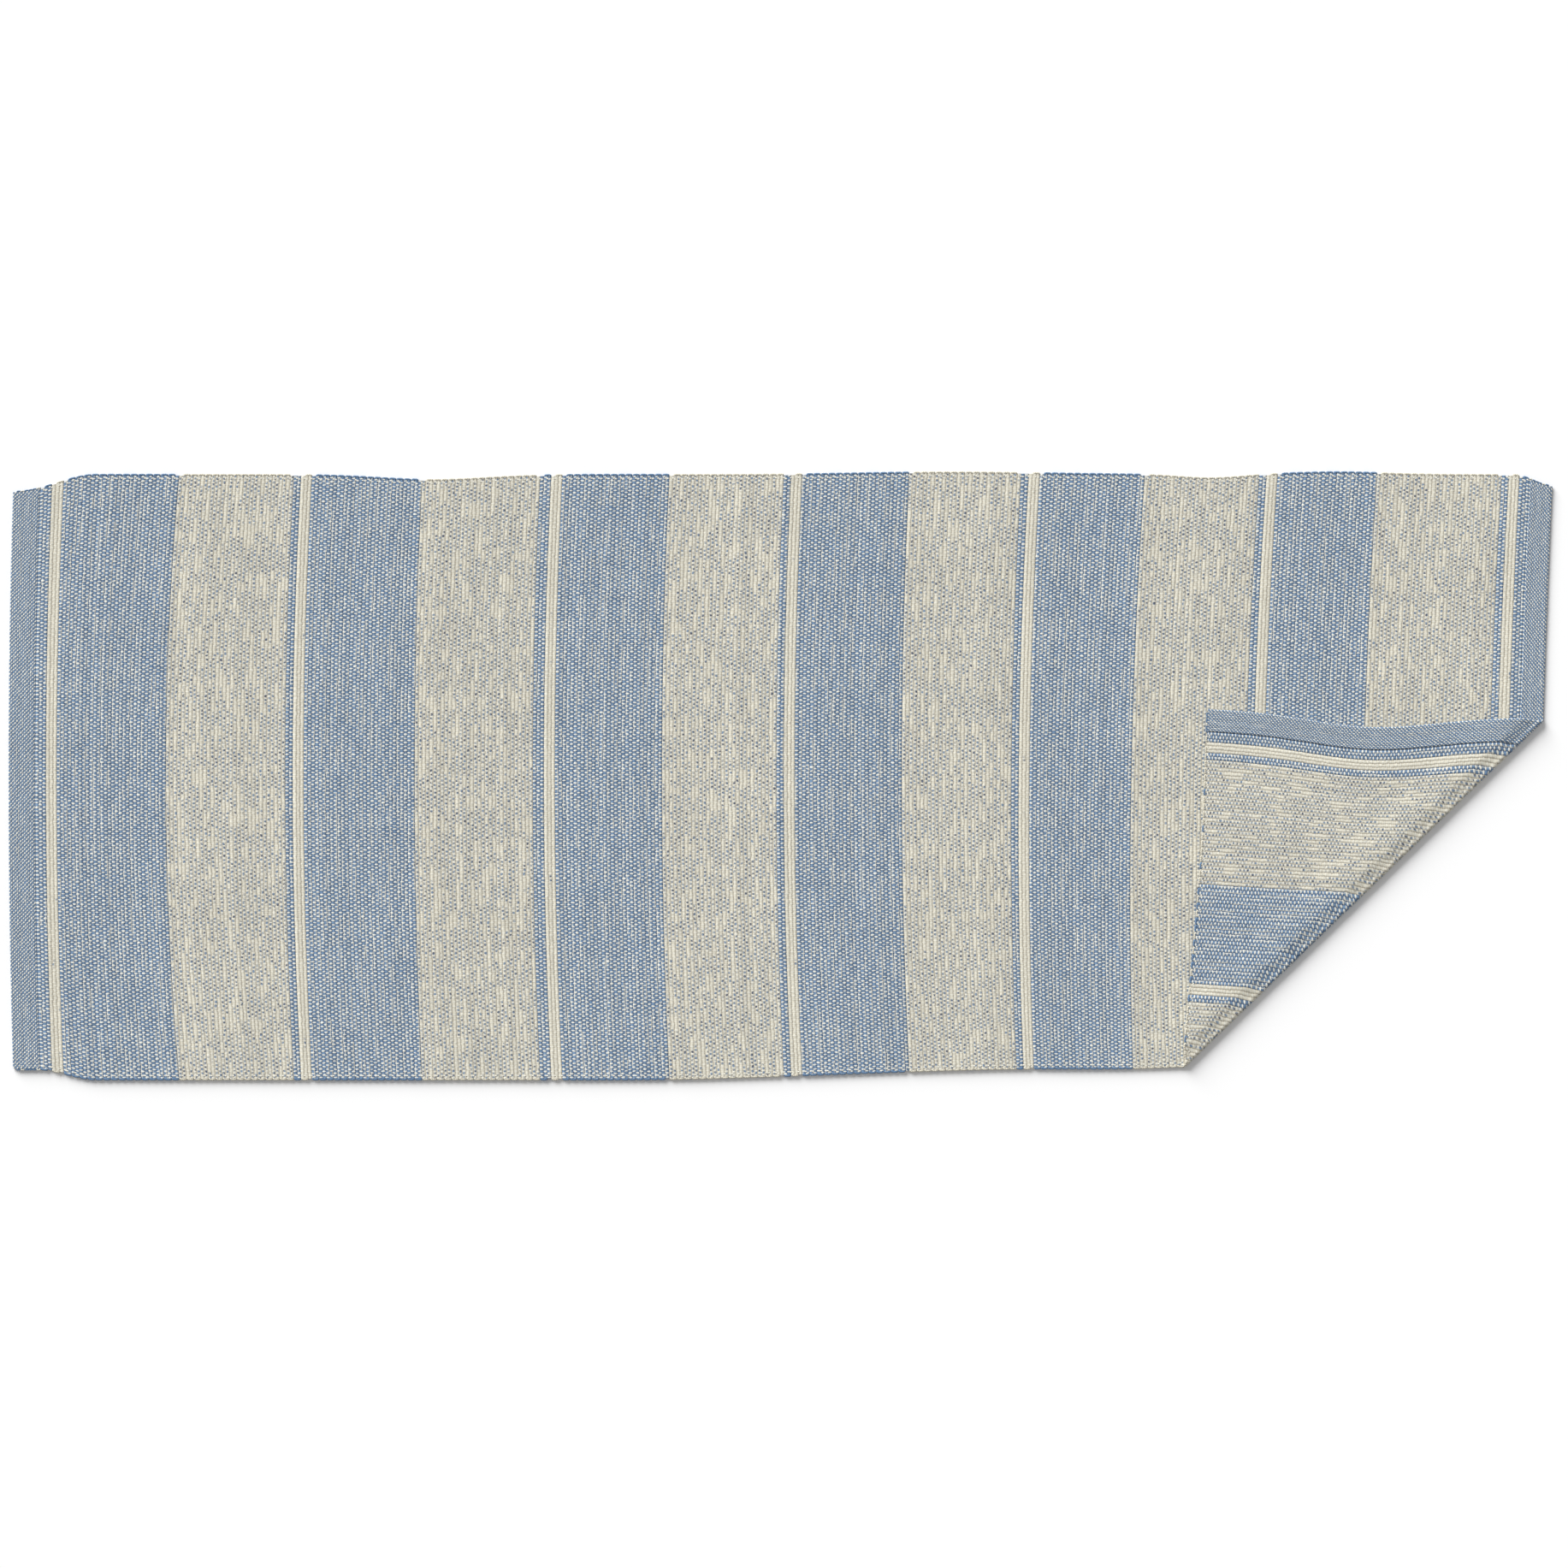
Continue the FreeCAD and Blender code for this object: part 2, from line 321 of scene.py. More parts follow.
def tube(cloth, path, radius, patch, kind=0, sides=8):
    """Adds a round yarn along a path in the flat cloth, with its tips rounded off. radius is one
    number or one for each point of the path."""
    path = np.asarray(path, dtype=float)
    along = np.gradient(path, axis=0)
    along /= np.linalg.norm(along, axis=1)[:, None]
    out = np.cross(along, np.array([0.0, 0.0, 1.0]))
    out /= np.maximum(np.linalg.norm(out, axis=1), 1e-9)[:, None]
    up = np.cross(out, along)
    radii = np.zeros(len(path)) + radius
    radii[[1, -2]] *= 0.8
    radii[[0, -1]] = 0
    turn = np.linspace(0, 2 * math.pi, sides + 1)
    turn[-1] = 0
    ring = radii[:, None, None] * (
        out[:, None, :] * np.cos(turn)[None, :, None] + up[:, None, :] * np.sin(turn)[None, :, None]
    )
    points = path[:, None, :] + ring
    run = np.concatenate([[0], np.cumsum(np.linalg.norm(np.diff(path, axis=0), axis=1))])
    weave = np.stack(np.meshgrid(run / PICK, np.linspace(0, 1, sides + 1), indexing="ij"), axis=2)
    cloth.grid(points, weave, patch, kind)


def slab_rows(fine):
    """v of the rows of a stretch of weave: one at each warp end, and where fine is set one
    between each two ends in front of CORNER_REACH."""
    reach = HALF_WIDTH - SLAB_EDGE
    centres = -HALF_WIDTH + END * (np.arange(ENDS) + 0.5)
    between = centres[:-1] + END / 2
    rows = np.concatenate([centres, between[between < CORNER_REACH]]) if fine else centres
    rows = np.sort(rows)
    return np.concatenate([[-reach], rows[abs(rows) < reach - 1e-4], [reach]])


def slab(cloth, left, picks, first_pick, fine):
    """Adds a stretch of the ground weave: a closed slab with a rib for each pick, and a bump
    wherever a warp end passes over one."""
    columns = np.arange(2 * picks + 1)  # one in each groove and one on each crest
    u, v = np.meshgrid(left + PICK / 2 * columns, slab_rows(fine), indexing="ij")
    pick = first_pick + (u - left) / PICK
    end = (v + HALF_WIDTH) / END
    at_crest = (columns % 2 == 1)[:, None]
    rib = RIB * np.where(at_crest, 1, -1)
    over = np.cos(math.pi * (np.floor(pick) - (end - 0.5))) * at_crest
    weave = np.stack([pick, end], axis=2)
    top = np.stack([u, v, BODY_HEIGHT + rib + WARP_BUMP * over], axis=2)
    low = np.stack([u, v, -BODY_HEIGHT - rib + WARP_BUMP * over], axis=2)
    cloth.grid(top, weave, (0, 0, 0.48, 0.98))
    cloth.grid(low, weave + UNDERSIDE, (0.50, 0, 0.98, 0.98), flip=True)
    walls = [
        (top[0], low[0], weave[0], True, (0.985, 0, 0.990, 0.98)),
        (top[-1], low[-1], weave[-1], False, (0.992, 0, 0.997, 0.98)),
        (top[:, 0], low[:, 0], weave[:, 0], False, (0, 0.985, 0.98, 0.990)),
        (top[:, -1], low[:, -1], weave[:, -1], True, (0, 0.992, 0.98, 0.997)),
    ]
    for upper, lower, places, flip, patch in walls:
        strip = np.stack([upper, lower], axis=0)
        cloth.grid(strip, np.stack([places, places], axis=0), patch, flip=flip, wall=1)


# ---------------------------------------------------------------- the draft, read from the model
def find_bands():
    """Every colour band from left to right: its name, edges, picks and CAD nodes."""
    nodes_of = {}
    for node in frame["nodes"]:
        if node.startswith(("blue_", "cream_")):
            name = re.sub("_(inner|outer|corner)$", "", node)
            nodes_of.setdefault(name, []).append(node)
    bands = []
    for name, nodes in nodes_of.items():
        boxes = [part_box(node) for node in nodes if not node.endswith("_corner")]
        left, right = min(low.x for low, _ in boxes), max(high.x for _, high in boxes)
        picks = round((right - left) / PICK)
        bands.append({"name": name, "nodes": nodes, "left": left, "picks": picks})
    bands.sort(key=lambda band: band["left"])
    left, first_pick = LEFT_END + HEM_WIDTH, 0
    for band in bands:
        band.update(left=left, right=left + band["picks"] * PICK, first_pick=first_pick)
        left = band["right"]
        first_pick += band["picks"]
    return bands


BANDS = find_bands()
FOLD_BAND = next(band for band in BANDS if band["left"] < RIGHT_FOLD < band["right"])
SPLIT = FOLD_BAND["left"] + SPLIT_PICKS * PICK


def is_blue(band):
    return band["name"].startswith("blue")


# ---------------------------------------------------------------- materials
class Material:
    """Shorthand for building the nodes of one material."""

    def __init__(self, name):
        self.material = bpy.data.materials.new(name)
        self.material.use_nodes = True
        self.tree = self.material.node_tree
        self.tree.nodes.clear()

    def add(self, kind, inputs, **settings):
        node = self.tree.nodes.new(kind)
        for setting, value in settings.items():
            setattr(node, setting, value)
        for name, value in inputs.items():
            if isinstance(value, bpy.types.NodeSocket):
                self.tree.links.new(value, node.inputs[name])
            else:
                node.inputs[name].default_value = value
        return node

    def maths(self, operation, *values):
        return self.add("ShaderNodeMath", dict(enumerate(values)), operation=operation).outputs[0]

    def rise(self, value, start, end):
        """0 before start, 1 after end and smooth between them."""
        inputs = {"Value": value, "From Min": start, "From Max": end}
        return self.add("ShaderNodeMapRange", inputs, interpolation_type="SMOOTHSTEP").outputs[0]

    def mix(self, share, low, high):
        """A colour that goes from low to high with share."""
        node = self.add("ShaderNodeMix", {0: share, 6: low, 7: high}, data_type="RGBA")
        return node.outputs[2]

    def scaled(self, colour, factor):
        """A colour times a number."""
        inputs = {0: colour, "Scale": factor}
        return self.add("ShaderNodeVectorMath", inputs, operation="SCALE").outputs[0]

    def noise(self, x, y, scales, offsets=(0.0, 0.0), detail=1.0):
        """Smooth noise from 0 to 1 with a mean of a half, at x and y times scales plus offsets."""
        places = [
            self.maths("MULTIPLY_ADD", value, scale, offset)
            for value, scale, offset in zip((x, y), scales, offsets)
        ]
        vector = self.add("ShaderNodeCombineXYZ", dict(zip("XY", places))).outputs[0]
        inputs = {"Vector": vector, "Scale": 1.0, "Detail": detail}
        return self.add("ShaderNodeTexNoise", inputs, noise_dimensions="2D").outputs["Fac"]

    def random(self, value):
        """A random number for each whole value."""
        return self.add("ShaderNodeTexWhiteNoise", {"W": value}, noise_dimensions="1D").outputs["Value"]

    def around_one(self, value, depth):
        """1 plus or minus depth, from a value between 0 and 1."""
        return self.maths("MULTIPLY_ADD", value, 2 * depth, 1 - depth)

    def inverse(self, value):
        """1 less the value."""
        return self.maths("SUBTRACT", 1.0, value)

    def centred(self, value):
        """The value less a half."""
        return self.maths("SUBTRACT", value, 0.5)

    def weave_places(self):
        """The pick and end coordinates of the point."""
        uv = self.add("ShaderNodeUVMap", {}, uv_map="Weave").outputs[0]
        node = self.add("ShaderNodeSeparateXYZ", {0: uv})
        return node.outputs["X"], node.outputs["Y"]

    def finish(self, colour, roughness, height, bump_distance):
        """The material of cotton with this colour and relief."""
        relief = {"Strength": 0.8, "Distance": bump_distance, "Height": height}
        bump = self.add("ShaderNodeBump", relief).outputs[0]
        inputs = {"Base Color": colour, "Roughness": roughness, "Normal": bump}
        gloss = {"Specular IOR Level": 0.25, "Sheen Weight": 0.08, "Sheen Roughness": 0.5}
        shader = self.add("ShaderNodeBsdfPrincipled", {**inputs, **gloss})
        self.add("ShaderNodeOutputMaterial", {"Surface": shader.outputs[0]})
        return self.material


def linear(red, green, blue):
    """A colour given as the eye reads it from 0 to 255, for a shader."""
    parts = [value / 255 for value in (red, green, blue)]
    return tuple(p / 12.92 if p <= 0.04045 else ((p + 0.055) / 1.055) ** 2.4 for p in parts) + (1.0,)


CREAM_WARP = linear(229, 228, 217)
BLUE_YARN = linear(108, 135, 165)
# Painted shade in the blue weave's grooves and between the sewing thread's plies, and the colour of the
# darkest stray dots in the cream weave
NAVY_AND_PAINTED_SHADE = linear(30, 45, 76)
CREAM_YARN = linear(213, 209, 193)
TAN_SHADE = linear(128, 118, 102)


# How the blue weave, where the warp stands out, differs from the cream one, where it hardly does.
# strand, warp and shade are how far these cover the colour below them, groove, tips and rim how
# deep the shade is there, lit how far the warp keeps it off, and dye how uneven the weft's is
BLUE_LOOK = {
    "dots": False, "strand": 0.85, "warp": 0.95, "shade": 0.95, "groove": 0.35, "tips": 0.65,
    "rim": 0.75, "lit": 0.8, "dye": 0.35, "relief": 0.40,
}
CREAM_LOOK = {
    "dots": True, "strand": 0.9, "warp": 0.6, "shade": 1.0, "groove": 0.50, "tips": 0.30,
    "rim": 0.18, "lit": 0.35, "dye": 0.15, "relief": 0.15,
}


def strand_in_dots(m, pick, end, side, from_warp, sway):
    """1 where a stray strand lies on top between the warp ends, as a row of dots."""
    from_middle = m.maths("DIVIDE", m.inverse(from_warp), 0.66)
    beside = m.maths("DIVIDE", m.maths("MULTIPLY_ADD", m.centred(sway), 0.6, side), 0.36)
    beside = m.maths("MULTIPLY", beside, beside)
    from_centre = m.maths("ADD", m.maths("POWER", from_middle, 2.0), beside)
    strength = m.rise(m.noise(pick, end, (1.1, 0.55), (0.0, 140.0)), 0.22, 0.55)
    return m.maths("MULTIPLY", m.inverse(m.rise(from_centre, 0.35, 1.3)), strength)


def strand_in_lines(m, row, side, sway):
    """1 where a stray strand shows as a thin line, on one side or the other of its pick."""
    place = m.maths("SIGN", m.centred(m.random(row)))
    place = m.maths("MULTIPLY_ADD", m.centred(sway), 1.6, place)
    away = m.maths("ABSOLUTE", m.maths("MULTIPLY_ADD", place, -0.25, side))
    return m.inverse(m.rise(away, 0.01, 0.16))


def weave_material(name, weft, gap_shade, strand, strand_share, look, warp_width=0.40, slant=0.0):
    """Plain weave. Each pick is a rib, and a warp end lies over every second crossing as an
    oval. strand is a stray yarn that shows along a pick in stretches, and strand_share is how
    much of the picks it takes up."""
    m = Material(name)
    pick, end = m.weave_places()
    wander = m.noise(pick, end, (0.6, 0.35), detail=2.0)
    drift = m.noise(pick, end, (0.45, 0.4), (0.0, 50.0), 2.0)
    pick = m.maths("MULTIPLY_ADD", m.centred(wander), 0.45, pick)
    end = m.maths("MULTIPLY_ADD", m.centred(drift), 1.1, end)
    row = m.maths("FLOOR", pick)
    side = m.centred(m.maths("SUBTRACT", pick, row))
    off = m.maths("ABSOLUTE", side)
    slid = m.maths("MULTIPLY_ADD", side, slant, end)
    slid = m.maths("SUBTRACT", slid, m.maths("ADD", row, 0.5))
    phase = m.maths("FRACT", m.maths("MULTIPLY", slid, 0.5))
    from_warp = m.inverse(m.maths("ABSOLUTE", m.maths("MULTIPLY_ADD", phase, 2.0, -1.0)))

    # The warp end over this pick, thicker in some places than in others
    swelling = m.noise(pick, end, (0.9, 0.9), (0.0, 20.0))
    width = m.maths("MULTIPLY", m.around_one(swelling, 0.45), warp_width)
    across = m.maths("POWER", m.maths("DIVIDE", from_warp, width), 2.0)
    along = m.maths("POWER", m.maths("DIVIDE", off, 0.56), 2.0)
    oval = m.maths("SQRT", m.maths("ADD", across, along))
    warp = m.inverse(m.rise(oval, 0.50, 1.20))

    # The stray strand, at its own place in each pick
    stretch = m.noise(row, end, (13.7, 1 / 12))
    sway = m.noise(row, end, (5.3, 0.3), (31.0, 0.0))
    if look["dots"]:
        shown = strand_in_dots(m, pick, end, side, from_warp, sway)
    else:
        shown = strand_in_lines(m, row, side, sway)
    limit = 0.60 - 0.2 * strand_share
    shown = m.maths("MULTIPLY", shown, m.rise(stretch, limit, limit + 0.09))

    # Fibres, and slow changes of the dye
    fibre = m.noise(pick, end, (11.0, 4.0), detail=3.0)
    tint = m.noise(pick, end, (0.8, 0.12), (0.0, 9.0), 2.0)
    speck = m.noise(pick, end, (1.3, 0.9), (0.0, 77.0))
    cloud = m.noise(pick, end, (0.05, 0.03), detail=2.0)
    light = m.around_one(m.random(m.maths("ADD", row, 0.5)), 0.06)
    for value, depth in ((cloud, 0.06), (fibre, 0.30), (speck, 0.22)):
        light = m.maths("MULTIPLY", light, m.around_one(value, depth))

    # The shade between the picks, deepest at the tips of the warp's ovals, and round the ovals
    tips = m.inverse(m.rise(from_warp, 0.25, 0.95))
    groove = m.maths("MULTIPLY_ADD", tips, look["tips"], look["groove"])
    rim = m.maths("MULTIPLY", m.inverse(m.rise(oval, 0.95, 1.60)), look["rim"])
    dark = m.maths("MAXIMUM", m.maths("MULTIPLY", m.rise(off, 0.20, 0.48), groove), rim)
    dark = m.maths("MULTIPLY", dark, m.maths("MULTIPLY_ADD", warp, -look["lit"], 1.0))

    colour = m.scaled(weft[:3], m.around_one(tint, look["dye"]))
    # Painted shade: the colour goes towards the shade colour in the grooves between the picks and round
    # the warp's ovals
    colour = m.mix(m.maths("MULTIPLY", dark, look["shade"]), colour, gap_shade)
    stray = m.mix(m.rise(speck, 0.38, 0.68), strand, NAVY_AND_PAINTED_SHADE) if look["dots"] else strand
    colour = m.mix(m.maths("MULTIPLY", shown, look["strand"]), colour, stray)
    colour = m.mix(m.maths("MULTIPLY", warp, look["warp"]), colour, CREAM_WARP)
    colour = m.scaled(colour, light)

    round_pick = m.inverse(m.maths("MULTIPLY", m.maths("POWER", off, 2.0), 4.0))
    height = m.maths("MULTIPLY", round_pick, 0.6)
    height = m.maths("MULTIPLY_ADD", warp, look["relief"], height)
    height = m.maths("MULTIPLY_ADD", fibre, 0.25, height)
    roughness = m.maths("MULTIPLY_ADD", fibre, 0.12, 0.82)
    return m.finish(colour, roughness, height, bump_distance=0.0006)


def yarn_material(name, base, shade, twist=2.0):
    """A plied yarn that shows by itself, as in the selvedge or a stitch."""
    m = Material(name)
    run, turn = m.weave_places()
    turns = m.maths("ADD", m.maths("MULTIPLY", run, twist), turn)
    ply = m.maths("SINE", m.maths("MULTIPLY", turns, 2 * math.pi))
    ply = m.maths("MULTIPLY_ADD", ply, 0.5, 0.5)
    fibre = m.noise(run, turn, (9.0, 14.0), detail=3.0)
    colour = m.mix(m.maths("MULTIPLY", m.inverse(ply), 0.5), base, shade)
    colour = m.scaled(colour, m.around_one(fibre, 0.25))
    height = m.maths("MULTIPLY_ADD", fibre, 0.4, ply)
    roughness = m.maths("MULTIPLY_ADD", fibre, 0.12, 0.82)
    return m.finish(colour, roughness, height, bump_distance=0.0003)


# Weft, the painted shade colour of the grooves between picks, and stray strand, for each weave
BLUE_YARNS_AND_SHADE = BLUE_YARN, NAVY_AND_PAINTED_SHADE, CREAM_YARN
CREAM_YARNS_AND_SHADE = CREAM_YARN, TAN_SHADE, BLUE_YARN
BLUE_WEAVE = weave_material("blue weave", *BLUE_YARNS_AND_SHADE, 0.7, BLUE_LOOK, warp_width=0.45)
BLUE_PIN_WEAVE = weave_material("blue pin weave", *BLUE_YARNS_AND_SHADE, 0.3, BLUE_LOOK, warp_width=0.47)
CREAM_WEAVE = weave_material("cream weave", *CREAM_YARNS_AND_SHADE, 1.15, CREAM_LOOK)
CREAM_PIN_WEAVE = weave_material("cream pin weave", *CREAM_YARNS_AND_SHADE, -0.6, CREAM_LOOK)
HEM_WEAVE = weave_material(
    "hem weave", *BLUE_YARNS_AND_SHADE, -0.2, BLUE_LOOK, warp_width=0.49, slant=0.5
)
CORD_YARN = yarn_material("selvedge cord", CREAM_WARP, TAN_SHADE)
BLUE_LOOP = yarn_material("blue loop", linear(104, 132, 162), linear(62, 82, 112))
CREAM_LOOP = yarn_material("cream loop", CREAM_YARN, TAN_SHADE)
THREAD_YARN = yarn_material("sewing thread", BLUE_YARN, NAVY_AND_PAINTED_SHADE, 6.0)


# ---------------------------------------------------------------- bands
def weave_of(band):
    pin = "pin" in band["name"]
    if is_blue(band):
        return BLUE_PIN_WEAVE if pin or "edge" in band["name"] else BLUE_WEAVE
    return CREAM_PIN_WEAVE if pin else CREAM_WEAVE


def band_piece(name, band, first, last, motion, nodes):
    """The picks from first up to last of a band, as one piece."""
    cloth = Cloth()
    left = band["left"] + first * PICK
    slab(cloth, left, last - first, band["first_pick"] + first, fine=motion == "corner_fold")
    piece, u, v = cloth.make(name, [weave_of(band)])
    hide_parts(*nodes)
    move_with(piece, motion, u, v)
    return piece


def motion_of(band):
    """The body that a band rides on, or the fold that it bends at."""
    if band["left"] < LEFT_FOLD < band["right"]:
        return "left_fold"
    if HALF_FOLD - PICK < band["right"] < HALF_FOLD + 6 * PICK:
        return "half_fold"
    if band["left"] > RIGHT_FOLD:
        return "corner_fold"
    return BODY_OF[band["nodes"][0]]


pieces = {}
for band in BANDS:
    name, nodes = band["name"], band["nodes"]
    piece_name = "cloth_" + name
    if band is FOLD_BAND:
        inner = [node for node in nodes if node.endswith("_inner")]
        others = [node for node in nodes if not node.endswith("_inner")]
        pieces[name + "_fold"] = band_piece(
            piece_name + "_fold", band, 0, SPLIT_PICKS, "right_fold", inner
        )
        pieces[name] = band_piece(
            piece_name, band, SPLIT_PICKS, band["picks"], "corner_fold", others
        )
    else:
        pieces[name] = band_piece(piece_name, band, 0, band["picks"], motion_of(band), nodes)

# ---------------------------------------------------------------- selvedges
LOOP_RADIUS = 0.00125  # of one of the two strands of a turn
LOOP_DEPTH = 0.9  # of a turn's bend, in radii of its strand
LOOP_SQUARE = 0.5  # 1 for a round bend, and less for a squarer one
LOOP_WIDEN = 0.0009  # how far a turn spreads beside its picks
LOOP_PAST_EDGE = 0.0001  # of a turn, beyond the edge of the runner
LOOP_LEG = [(-0.0040, -0.0005), (-0.0025, -0.0004), (-0.0010, 0)]  # out and up from its neck
LEG_THINNER = 0.8  # of the strand's radius, along the leg
TUCK_RADIUS = 1.4 * LOOP_RADIUS  # of a pick's end that turns in
STRAND_HEIGHT = 0.0010  # of the upper strand above the middle of the cloth
CORD_RADIUS = 0.0011
CORD_SWING = 0.00115  # how far the cord goes over and under the weft
CORD_INSET = 0.0055  # from the edge of the runner to the cord


def turn_back(cloth, edge, first, second, radius, height, patch, kind):
    """Adds the loop of the weft between two picks, round the edge of the runner. edge is -1 at
    the front and 1 at the back, and first and second are the picks' u."""
    middle, bend = (first + second) / 2, (second - first) / 2
    spread = bend + math.copysign(LOOP_WIDEN * radius / LOOP_RADIUS, bend)
    depth = LOOP_DEPTH * radius
    neck = HALF_WIDTH - radius - depth + LOOP_PAST_EDGE
    path = [(first, neck + out, height + lift) for out, lift in LOOP_LEG]
    for angle in np.linspace(0, math.pi, 9):
        across = math.copysign(abs(math.cos(angle)) ** LOOP_SQUARE, math.cos(angle))
        out = depth * math.sin(angle) ** LOOP_SQUARE
        path.append((middle - spread * across, neck + out, height))
    path += [(second, neck + out, height + lift) for out, lift in reversed(LOOP_LEG)]
    path = np.array(path)
    path[:, 1] *= edge
    radii = np.full(len(path), radius)
    radii[: len(LOOP_LEG)] *= LEG_THINNER
    radii[-len(LOOP_LEG) :] *= LEG_THINNER
    tube(cloth, path, radii, patch, kind)


def tuck(cloth, edge, u, patch, kind):
    """Adds the end of a pick that turns in at the edge of the runner."""
    v = np.array([0.0085, 0.007, 0.0055, 0.004, 0.0028, 0.0021])
    path = np.stack([np.full(len(v), u), edge * (HALF_WIDTH - v), np.zeros(len(v))], axis=1)
    tube(cloth, path, TUCK_RADIUS, patch, kind)


def cord(cloth, edge, left, right, patch, kind):
    """Adds the bundled outer warp ends, which lie high and low by turns between the picks."""
    steps = max(8, round((right - left) / PICK * 4))
    u = np.linspace(left, right, steps)
    swing = np.cos(math.pi * (u - LEFT_END - HEM_WIDTH - PICK) / PICK)
    path = np.stack([u, np.full(steps, edge * (HALF_WIDTH - CORD_INSET)), CORD_SWING * swing], axis=1)
    tube(cloth, path, CORD_RADIUS, patch, kind)


def patches(count):
    """Rooms in the baked image for a number of small pieces, below a strip for the cord."""
    side = math.ceil(math.sqrt(count))
    for i in range(count):
        x, y = (i % side) / side, (i // side) / side * 0.9
        yield (x, y, x + 0.8 / side, y + 0.9 * 0.8 / side)


def selvedge_piece(name, edge, left, right, motion, nodes):
    """A stretch of selvedge: the cord, and the loop or end of every pick. Loops join the picks of
    a band in pairs, and at the back they start with its second pick."""
    blue, cream = 1, 2  # their places in the list of materials
    skipped = 0 if edge < 0 else 1
    turns = []
    for band in BANDS:
        at = [band["left"] + (i + 0.5) * PICK for i in range(band["picks"])]
        kind = blue if is_blue(band) else cream
        turns += [(at[i], at[i + 1], kind) for i in range(skipped, band["picks"] - 1, 2)]
        turns += [(at[0], None, kind)] if skipped else []
        turns += [(at[-1], None, kind)] if (band["picks"] - skipped) % 2 else []
    turns = [turn for turn in turns if left <= turn[0] < right]
    cloth = Cloth()
    cord(cloth, edge, left, right, (0, 0.92, 1, 0.99), 0)
    rooms = patches(2 * len(turns))
    for i, (first, second, kind) in enumerate(turns):
        if second is None:
            tuck(cloth, edge, first, next(rooms), kind)
            continue
        mixed = i * 7 % 5 < (2 if kind == blue else 1)  # its lower strand has the other colour
        lower_kind = blue + cream - kind if mixed else kind
        turn_back(cloth, edge, first, second, LOOP_RADIUS, STRAND_HEIGHT, next(rooms), kind)
        turn_back(cloth, edge, first, second, LOOP_RADIUS, -STRAND_HEIGHT, next(rooms), lower_kind)
    piece, u, v = cloth.make(name, [CORD_YARN, BLUE_LOOP, CREAM_LOOP])
    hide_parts(*nodes)
    move_with(piece, motion, u, v)
    return piece


WEAVE_LEFT, WEAVE_RIGHT = BANDS[0]["left"], BANDS[-1]["right"]
BEFORE_HALF_FOLD, AFTER_HALF_FOLD = -0.250, 0.230
# Each stretch of selvedge: its start and end, what it bends with and the CAD nodes it stands for
LEFT_STRETCHES = [
    ("left", WEAVE_LEFT, BEFORE_HALF_FOLD, "left_fold", ["left_outer"]),
    ("middle", BEFORE_HALF_FOLD, AFTER_HALF_FOLD, "half_fold", ["left_inner", "right_inner"]),
]
FRONT_STRETCHES = LEFT_STRETCHES + [
    ("right", AFTER_HALF_FOLD, SPLIT, "right_fold", ["right_outer"]),
    ("turned", SPLIT, WEAVE_RIGHT, "corner_fold", ["corner"]),
]
BACK_STRETCHES = LEFT_STRETCHES + [
    ("right", AFTER_HALF_FOLD, WEAVE_RIGHT, "right_fold", ["right_outer"]),
]
for side, edge, stretches in (("front", -1, FRONT_STRETCHES), ("back", 1, BACK_STRETCHES)):
    for place, left, right, motion, parts in stretches:
        name = f"selvedge_{side}_{place}"
        nodes = [f"selvedge_{side}_{part}" for part in parts]
        pieces[name] = selvedge_piece("cloth_" + name, edge, left, right, motion, nodes)


# ---------------------------------------------------------------- hems
HEM_RIB = 0.00012  # how far the hem's weave stands up and down
HEM_HALF_THICKNESS = 0.0020
TURNED_PLY_GAP = 0.0012  # on the underside, from the coarse picks to the edge of the turned ply
GAP_DEPTH = 0.0001  # of the cloth in that gap, below the middle
PLY_STEP = 0.0001  # how far the underside goes along while it steps down to the turned ply
HEM_LOOP_RADIUS = 0.0008
HEM_STRAND_HEIGHT = 0.00115
HEM_CORD_SHORTER = 0.003  # than the hem, at its round end
STITCH = 0.004
STITCH_HEIGHT = 0.0020  # of the thread above and below the middle of the cloth
STITCH_SQUARE = 4  # how steeply it goes through
THREAD_RADIUS = 0.00035


def strip_room(strip, left, width):
    """Room in a numbered strip of the baked image, above the hem's faces."""
    return (left, 0.83 + 0.02 * strip, left + width, 0.845 + 0.02 * strip)


